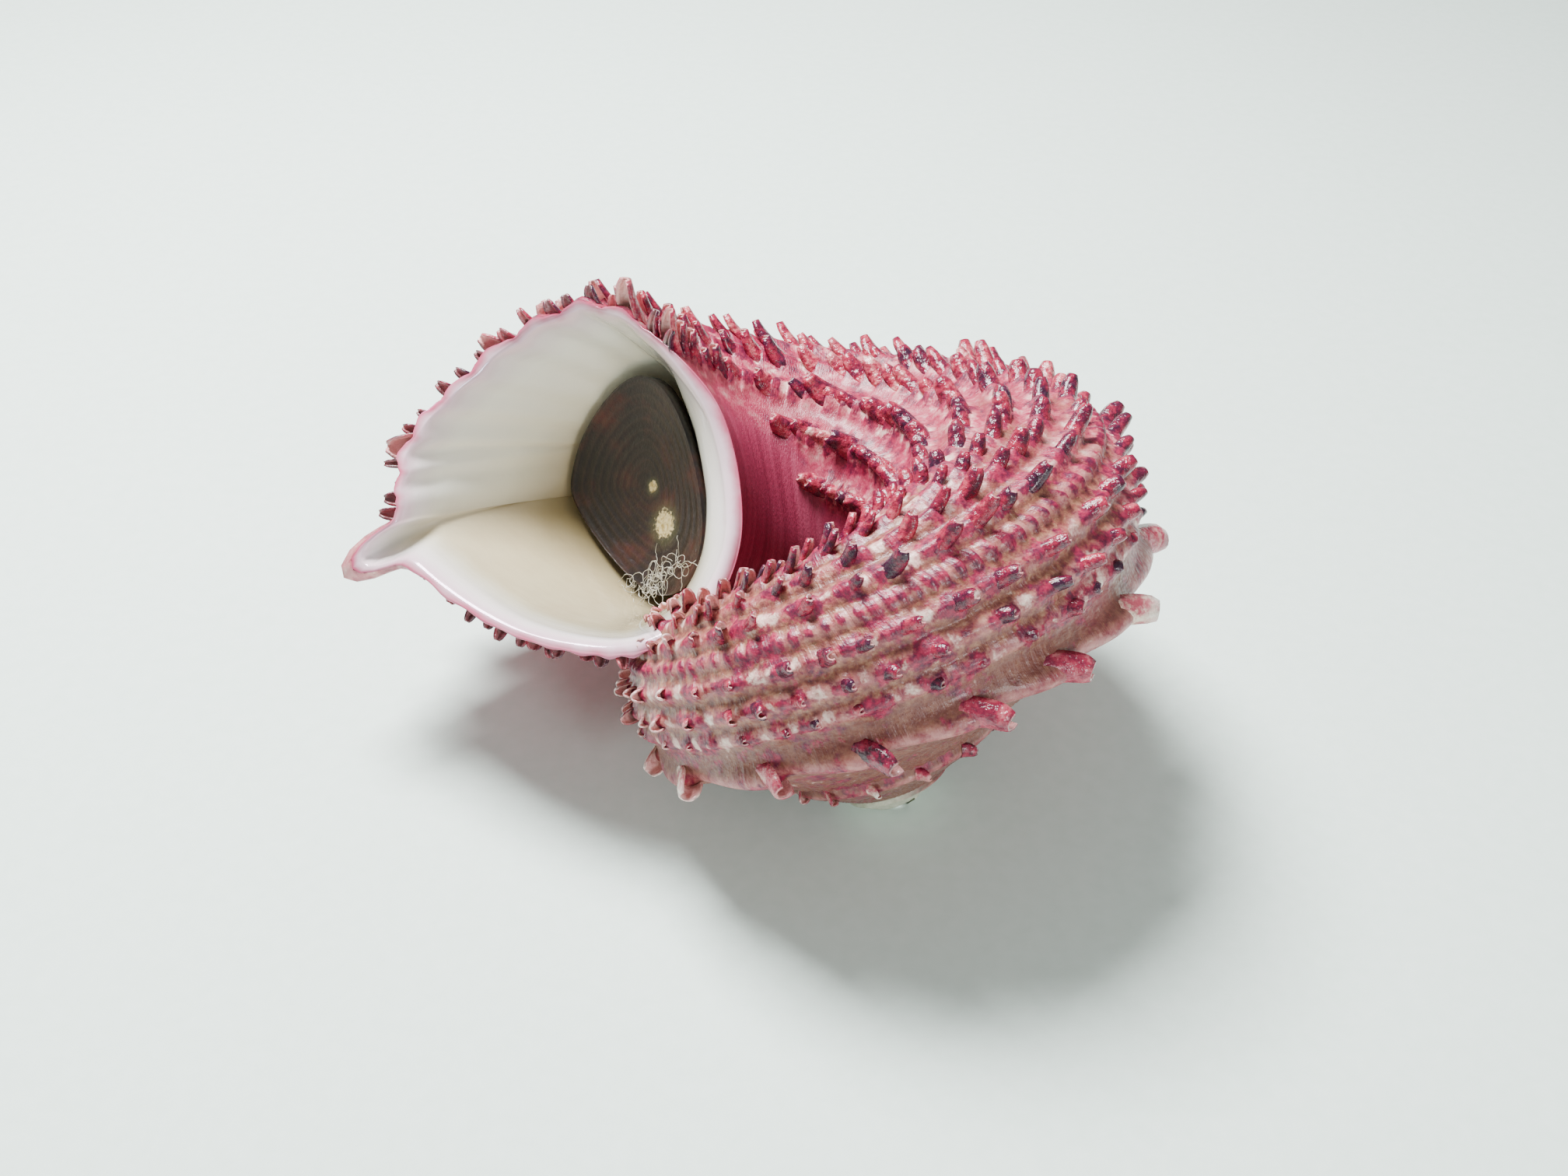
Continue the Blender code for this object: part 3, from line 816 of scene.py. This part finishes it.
def fringe_sites(rng):
    """Small scales along the edge of the lip."""
    sites = []
    for place in FRINGE_PLACES:
        vary = rng.uniform(0.7, 1.25, 3)
        length = FRINGE_LENGTH * vary[0] * (0.6 if place < SHOULDER_PLACE else 1.0)
        sizes = (length, FRINGE_WIDTH * vary[1], 0.5, 0.2, 35 * vary[2], 80, 7, 0.35)
        placed = place + rng.normal(0, 0.04)
        sites.append((-FRINGE_TURN * vary[1], placed, sizes, 0.45 * rng.random(), 0.3))
    return sites


rng = np.random.default_rng(RANDOM_SEED)
make_scales("shell_scales", scale_sites(rng) + fringe_sites(rng), scale_material)

# %% [markdown]
# ## Spines on the shoulder
#
# The shoulder's spines are the same form at twice the size. Their angles round the
# axis and their shades are those of the shell itself, from dark brown to cream. On the
# early whorls only worn knobs are left of them, and the shell rests on some of these.

# %% Spines on the shoulder
SPINE_LENGTH = 6.0
SPINE_WIDTH = 3.7
SPINE_ROOT_TURN = 0.0185
SPINE_SHADES = (0.5, 0.4, 0.6, 0.3, 0.5, 0.7, 0.45, 0.6, 0.5, 0.55, 0.9, 0.4, 0.35, 0.02,
                0.55, 0.85, 0.95, 0.9)
KNOB_SIZES = (3.6, 4.4, 1.6, 0.5, 30, 75, 5, 0.3)
KNOB_STEP = 24.0
KNOB_TURNS = np.arange(-2.1, -1.04, KNOB_STEP / 360.0)


def spine_sites(rng):
    """The shoulder's spines on the last whorl, then the knobs of the early whorls."""
    sites = []
    for back, shade in zip(SPINES_BACK[1:], SPINE_SHADES):
        vary = rng.uniform(0.92, 1.08, 2)
        sizes = (SPINE_LENGTH * vary[0], SPINE_WIDTH * vary[1], 1.8, 0.35, 16, 62, 14, 0.25)
        root = -back / 360.0 - SPINE_ROOT_TURN
        sites.append((root, SHOULDER_PLACE, sizes, shade, 0.8))
    for turn in KNOB_TURNS:
        sites.append((turn, SHOULDER_PLACE, KNOB_SIZES, rng.random(), 0.8))
    return sites


make_scales("shell_spines", spine_sites(rng), spine_material)

# %% [markdown]
# ## Lip and lining
#
# The inside of the mouth is nacre, thin sheets of the same mineral that scatter light
# into a pearly sheen. At the very edge the lip is still pink shell, then comes a
# lilac-white band, and then the nacre, which is beige deeper in. Its lower side is
# beige too, partly its own stain and partly painted shade.
# The cords outside show through as shallow flutes near the edge.
#
# Nacre isn't a metal, so it is a pale surface with a clear coat over it. A little
# thin-film colour on the shader gives the faint green and rose without any painted
# rainbow.

# %% Wall of the mouth and chamber
LIP_WALL = 0.9
CHAMBER_WALL = 3.6
CHAMBER_WALL_SWING = 1.4
CHAMBER_THICK_PLACE = 7.0
FLARE_TURN = 0.12
LINING_TURN = -0.5
FLUTE_HEIGHT = 0.35
LIP_EDGE_SHARE = 0.12
BEVEL_DEPTH = 2.6
NACRE_DEPTH = 30.0
NACRE_BANDS = ((0.0, "A52E50"), (0.016, "C2607C"), (0.035, "DFC0CC"), (0.07, "ECE4E4"),
               (0.15, "F8FAEE"), (0.35, "F2F0D8"), (0.55, "C4B48E"), (0.9, "7E6C50"))
LINING_COLUMNS = 240
LINING_STEPS = 120
LINING_CROWDING = 2.2
SPOUT_INSIDE = 0.95
EDGE_ROUNDING = ((0.0, 0.0), (0.05, 0.3), (0.04, 0.7))


def chamber_wall(turn, places):
    """Thickness of the shell round the mouth and chamber, in mm at lip size."""
    around = 2 * math.pi * (places - CHAMBER_THICK_PLACE) / SECTION_POINTS
    swing = CHAMBER_WALL_SWING * np.cos(around)
    return LIP_WALL + (CHAMBER_WALL + swing - LIP_WALL) * smooth_step(-turn / FLARE_TURN)


def lining_wall(turn, places):
    """How far the lining lies inside the outer surface, with its flutes and bevelled edge."""
    flutes = FLUTE_HEIGHT * cord_share(turn, places) * smooth_step(1.0 + turn / 0.14)
    depth = np.clip((growth_mm(0.0) - growth_mm(turn)) / BEVEL_DEPTH, 0.0, 1.0)
    bevel = LIP_EDGE_SHARE + (1 - LIP_EDGE_SHARE) * np.sqrt(1 - (1 - depth) ** 2)
    return (chamber_wall(turn, places) - flutes) * bevel


def make_nacre():
    """Pearly lining with its pink edge."""
    material, tree, shader = new_material("nacre", 0.2, 1.0, 0.06)
    shader.inputs["Thin Film Thickness"].default_value = 320.0
    shader.inputs["Thin Film IOR"].default_value = 1.4
    depth = value_of(tree, "depth_mm")
    waves = noise(tree, surface_place(tree, 0.7, 0.5), 1.0, 3.0)
    depth = math_of(tree, "ADD", depth, math_of(tree, "MULTIPLY", waves, 0.8))
    links = {"Value": depth, "From Min": 0.0, "From Max": NACRE_DEPTH}
    base = ramp(tree, add_node(tree, "MapRange", links).outputs[0], NACRE_BANDS)
    place = value_of(tree, "place")
    # The lower side turns beige from 1.5 mm in: partly the lining's own stain, partly painted
    # shade.
    low_side = math_of(tree, "ADD", between(tree, place, 2.6, 4.4, 1.0, 0.0),
                       between(tree, place, 11.0, 13.0))
    stain_and_painted_shade = mixed(tree, noise(tree, place_in_mm(tree), 0.4, 3.0),
                    colour("B8A87E"), colour("A48E60"))
    inner = between(tree, depth, 1.5, 6.0, 0.0, 0.8)
    base = mixed(tree, math_of(tree, "MULTIPLY", low_side, inner), base, stain_and_painted_shade)
    height = noise(tree, surface_place(tree, 1.2, 0.5), 1.0, 3.0)
    finish_material(tree, shader, base, None, height, 0.04)
    return material


def make_lining(material):
    """From the outer surface's edge round the lip and back into the chamber."""
    places = np.linspace(0, SECTION_POINTS, LINING_COLUMNS, endpoint=False)
    edge = np.zeros(LINING_COLUMNS)
    outer = relief(edge, places) + spout(edge, places)
    inner = spout(edge, places) * SPOUT_INSIDE - lining_wall(edge, places)
    rows = []
    for lean, share in EDGE_ROUNDING:
        rows.append(surface(edge, places, outer * (1 - share) + inner * share, lean))
    for step in range(LINING_STEPS + 1):
        turn = edge + LINING_TURN * (step / LINING_STEPS) ** LINING_CROWDING
        inner = spout(turn, places) * SPOUT_INSIDE - lining_wall(turn, places)
        rows.append(surface(turn, places, inner))
    steps = np.linalg.norm(np.diff(rows, axis=0), axis=2)
    start = np.zeros((1, LINING_COLUMNS))
    depths = np.concatenate([start, np.cumsum(steps, axis=0)]).ravel()
    values = {"depth_mm": depths, "along_mm": depths,
              "around_mm": np.tile(places * MM_PER_PLACE, len(rows)),
              "place": np.tile(places, len(rows))}
    faces = grid_faces(len(rows), LINING_COLUMNS)
    add_piece("shell_lining", np.concatenate(rows), faces, values, material)


make_lining(make_nacre())

# %% [markdown]
# ## Operculum
#
# The lid is thin horn, dark brown and slightly dished, grown in rings round its middle.
# Dried tissue left a pale yellow crust in one spot and a tuft of white fibres at the
# lower edge. Horn is close to fingernail: a soft gloss over a nearly black brown, with
# the rings catching the light.

# %% The horny plate
PLATE_TURN = -0.10
PLATE_THICKNESS = 1.0
PLATE_GAP = 0.8
PLATE_DISH = 0.9
PLATE_ROUNDING = 42
PLATE_SEARCH_TURNS = 0.3
PLATE_COLUMNS = 96
PLATE_ROWS = 44
HORN = ((0.35, "0C0505"), (0.5, "1A0B0A"), (0.62, "34120F"), (0.75, "4E1E16"))
RING_HEIGHT = 0.022
RING_COUNT = 11
CRUSTS = ((3.2, 0.9, 1.35), (0.3, 0.5, 0.6))
TUFT_MIDDLE = (6.7, -0.6)
TUFT_SPREAD = (0.35, 2.1)


def chamber_point(turn, places, extra):
    """Points of the chamber's wall without flutes, extra mm further in."""
    return surface(turn, places, -chamber_wall(turn, places) - extra)


def plate_outline():
    """Edge of a flat slice across the chamber, its middle and its direction."""
    places = np.linspace(0, SECTION_POINTS, PLATE_COLUMNS, endpoint=False)
    flat = np.full(PLATE_COLUMNS, PLATE_TURN)
    middle = chamber_point(flat, places, 0.0).mean(axis=0)
    younger, older = (chamber_point(flat + step, places, 0.0) for step in (0.01, -0.01))
    facing = (younger - older).mean(axis=0)
    facing /= np.linalg.norm(facing)
    low, high = flat - PLATE_SEARCH_TURNS, flat + PLATE_SEARCH_TURNS
    for search in range(24):
        half = (low + high) / 2
        ahead = (chamber_point(half, places, PLATE_GAP) - middle) @ facing > 0
        low = np.where(ahead, low, half)
        high = np.where(ahead, half, high)
    edge = chamber_point((low + high) / 2, places, PLATE_GAP)
    for rounding in range(PLATE_ROUNDING):
        edge = 0.5 * edge + 0.25 * (np.roll(edge, 1, axis=0) + np.roll(edge, -1, axis=0))
    return edge, edge.mean(axis=0), facing


def make_horn():
    """Dark brown horn with rings and a pale crust."""
    material, tree, shader = new_material("brown_horn", 0.38, 0.25, 0.14)
    where = place_in_mm(tree)
    grain = noise(tree, where, 0.35, 4.0, 0.6)
    fine = noise(tree, where, 4.0, 4.0, 0.65)
    rings = between(tree, value_of(tree, "ring"), 0.6, 1.0, 0.0, 0.2)
    base = mixed(tree, rings, ramp(tree, grain, HORN), colour("4A362C"))
    crust = value_of(tree, "crust")
    haze = math_of(tree, "ADD", crust, math_of(tree, "MULTIPLY", fine, 0.5))
    base = mixed(tree, between(tree, haze, 0.35, 0.9, 0.0, 0.55), base, colour("4E5234"))
    crusted = math_of(tree, "ADD", crust, math_of(tree, "MULTIPLY", fine, 0.9))
    crusted = between(tree, crusted, 1.0, 1.16)
    base = mixed(tree, crusted, base, ramp(tree, fine, ((0.4, "A08A4E"), (0.6, "D2C290"))))
    rough = between(tree, crusted, 0.0, 1.0, 0.3, 0.8)
    height = math_of(tree, "ADD", fine, math_of(tree, "MULTIPLY", crusted, 2.0))
    finish_material(tree, shader, base, rough, height, 0.05)
    return material


def make_operculum(material):
    """The dished plate, with growth rings on its front. Returns its middle and axes."""
    edge, middle, facing = plate_outline()
    across = edge[0] - middle
    across -= facing * (across @ facing)
    across /= np.linalg.norm(across)
    upward = np.cross(facing, across)
    shares = np.linspace(0.001, 1.0, PLATE_ROWS)
    angle = np.linspace(0, 2 * math.pi, PLATE_COLUMNS, endpoint=False)
    points, ring_values = [], []
    for side in (0.5, -0.5):
        for share in (shares if side > 0 else shares[::-1]):
            ring = np.cos(2 * math.pi * RING_COUNT * share ** 0.8 + angle)
            ring = ring * smooth_step(share / 0.15)
            height = side * PLATE_THICKNESS - PLATE_DISH * (1 - share ** 2)
            height = height + (RING_HEIGHT * ring if side > 0 else 0.0)
            points.append(middle + (edge - middle) * share + np.multiply.outer(height, facing))
            ring_values.append(0.5 + 0.5 * ring)
    points = np.concatenate(points)
    flat_place = np.stack([(points - middle) @ across, (points - middle) @ upward], axis=1)
    crust = np.zeros(len(points))
    for x, y, radius in CRUSTS:
        away = np.hypot(flat_place[:, 0] - x, flat_place[:, 1] - y)
        crust = np.maximum(crust, bump(away / radius))
    values = {"ring": np.concatenate(ring_values), "crust": crust}
    faces = grid_faces(2 * PLATE_ROWS, PLATE_COLUMNS)
    add_piece("operculum_plate", points, faces, values, material, "operculum")
    return middle, across, upward, facing


plate_middle, plate_across, plate_upward, plate_facing = make_operculum(make_horn())
print("plate faces", np.round(TO_REST[:3, :3] @ plate_facing, 2))

# %% [markdown]
# ## Fibres on the operculum
#
# The white fibres are dried threads of tissue. Each is a fine tube along a wandering
# path that starts at the plate's lower edge and stays within a fraction of a
# millimetre of it. A hair system would need its own render settings; plain tubes look
# the same at this size and export as they are.

# %% A tuft of fine tubes
FIBRE_COUNT = 46
FIBRE_STEPS = 18
FIBRE_STEP = 0.15
FIBRE_RADIUS = 0.02
FIBRE_SIDES = 4
PLATE_RADIUS = 7.5


def fibre_path(rng):
    """A wandering line over the plate, in its own axes and height above it."""
    place = np.array(TUFT_MIDDLE) + rng.normal(0, 1, 2) * TUFT_SPREAD
    heading = rng.uniform(0, 2 * math.pi)
    turning = rng.normal(0, 0.35)
    height = rng.uniform(0.05, 0.3)
    path = []
    for step in range(FIBRE_STEPS):
        share = np.hypot(*place) / PLATE_RADIUS
        dish = 0.5 * PLATE_THICKNESS - PLATE_DISH * (1 - share ** 2)
        path.append((place[0], place[1], dish + height))
        heading += turning + rng.normal(0, 0.25)
        place = place + FIBRE_STEP * np.array([math.cos(heading), math.sin(heading)])
        height = np.clip(height + rng.normal(0, 0.05), 0.03, 0.5)
    return np.array(path)


def make_fibres(rng):
    """All fibres as one mesh."""
    material, tree, shader = new_material("dried_fibre", 0.6)
    finish_material(tree, shader, ramp(tree, noise(tree, place_in_mm(tree), 2.0),
                                       ((0.4, "A8A28C"), (0.6, "D8D4C4"))))
    axes = np.stack([plate_across, plate_upward, plate_facing])
    points, faces = [], []
    for number in range(FIBRE_COUNT):
        path = plate_middle + fibre_path(rng) @ axes
        first = number * FIBRE_STEPS * FIBRE_SIDES
        for point, ahead in zip(path, np.gradient(path, axis=0)):
            side = np.cross(ahead, plate_facing)
            side /= np.linalg.norm(side)
            over = np.cross(side, ahead) / np.linalg.norm(ahead)
            for k in range(FIBRE_SIDES):
                angle = 2 * math.pi * k / FIBRE_SIDES
                spoke = side * math.cos(angle) + over * math.sin(angle)
                points.append(point + FIBRE_RADIUS * spoke)
        faces.extend(grid_faces(FIBRE_STEPS, FIBRE_SIDES, first))
    add_piece("operculum_fibres", np.array(points), faces, {}, material, "operculum")


make_fibres(rng)

# %% [markdown]
# ## Floor, light and camera
#
# A plain pale floor and broad soft light, as for a catalogue picture: one large lamp
# above and behind lights the back of the shell, a weaker one at the front right shines
# into the mouth, and the pale room fills the rest. The camera looks down at 40 degrees
# from the mouth's side, with the lens of a close portrait, so the near spines look only
# a little larger.

# %% Stage
FLOOR_SIDE = 2.0
CAMERA_FROM_APEX = (-8.0902, -73.1794, 81.9024)
CAMERA_RIGHT = (0.999409, 0.022322, 0.026152)
CAMERA_AHEAD = (0.0, 0.760609, -0.649210)
LENS_MM = 37.55
SENSOR_MM = 36.0
ROOM_STRENGTH = 0.43


def make_floor():
    """A plain pale floor."""
    material, tree, shader = new_material("pale_paper", 0.7)
    grain = noise(tree, place_in_mm(tree), 0.9, 2.0)
    finish_material(tree, shader, ramp(tree, grain, ((0.3, "DDEEE6"), (0.7, "E2F2EB"))))
    mesh = bpy.data.meshes.new("floor")
    half = FLOOR_SIDE / 2
    corners = [(-half, -half, 0), (half, -half, 0), (half, half, 0), (-half, half, 0)]
    mesh.from_pydata(corners, [], [(0, 1, 2, 3)])
    mesh.materials.append(material)
    floor = bpy.data.objects.new("floor", mesh)
    bpy.context.scene.collection.objects.link(floor)


def add_lamp(name, place_mm, aim_mm, side_mm, watts):
    """A square soft lamp that points at a place."""
    lamp = bpy.data.lights.new(name, "AREA")
    lamp.size = side_mm * MM
    lamp.energy = watts
    obj = bpy.data.objects.new(name, lamp)
    obj.location = Vector(place_mm) * MM
    towards = Vector(aim_mm) - Vector(place_mm)
    obj.rotation_euler = towards.to_track_quat("-Z", "Y").to_euler()
    bpy.context.scene.collection.objects.link(obj)


def make_camera():
    """The camera at the photo's place, tilt and lens."""
    right = Vector(CAMERA_RIGHT)
    ahead = Vector(CAMERA_AHEAD)
    up = right.cross(ahead)
    matrix = Matrix((right, up, -ahead)).transposed().to_4x4()
    matrix.translation = (Vector(APEX_AT) + Vector(CAMERA_FROM_APEX)) * MM
    data = bpy.data.cameras.new("camera")
    data.lens = LENS_MM
    data.sensor_width = SENSOR_MM
    data.clip_start = 0.005
    camera = bpy.data.objects.new("camera", data)
    camera.matrix_world = matrix
    bpy.context.scene.collection.objects.link(camera)
    bpy.context.scene.camera = camera
    return camera


make_floor()
add_lamp("lamp_above", (-70, 80, 220), (0, 0, 12), 90, 2.3)
add_lamp("lamp_front", (100, -170, 85), (-14, 2, 20), 50, 0.22)
world = bpy.data.worlds.new("soft_room")
world.use_nodes = True
room = world.node_tree.nodes["Background"]
room.inputs["Color"].default_value = colour("DDE6E2")
room.inputs["Strength"].default_value = ROOM_STRENGTH
bpy.context.scene.world = world
camera = make_camera()
print("camera at mm:", [round(c / MM, 1) for c in camera.matrix_world.translation])
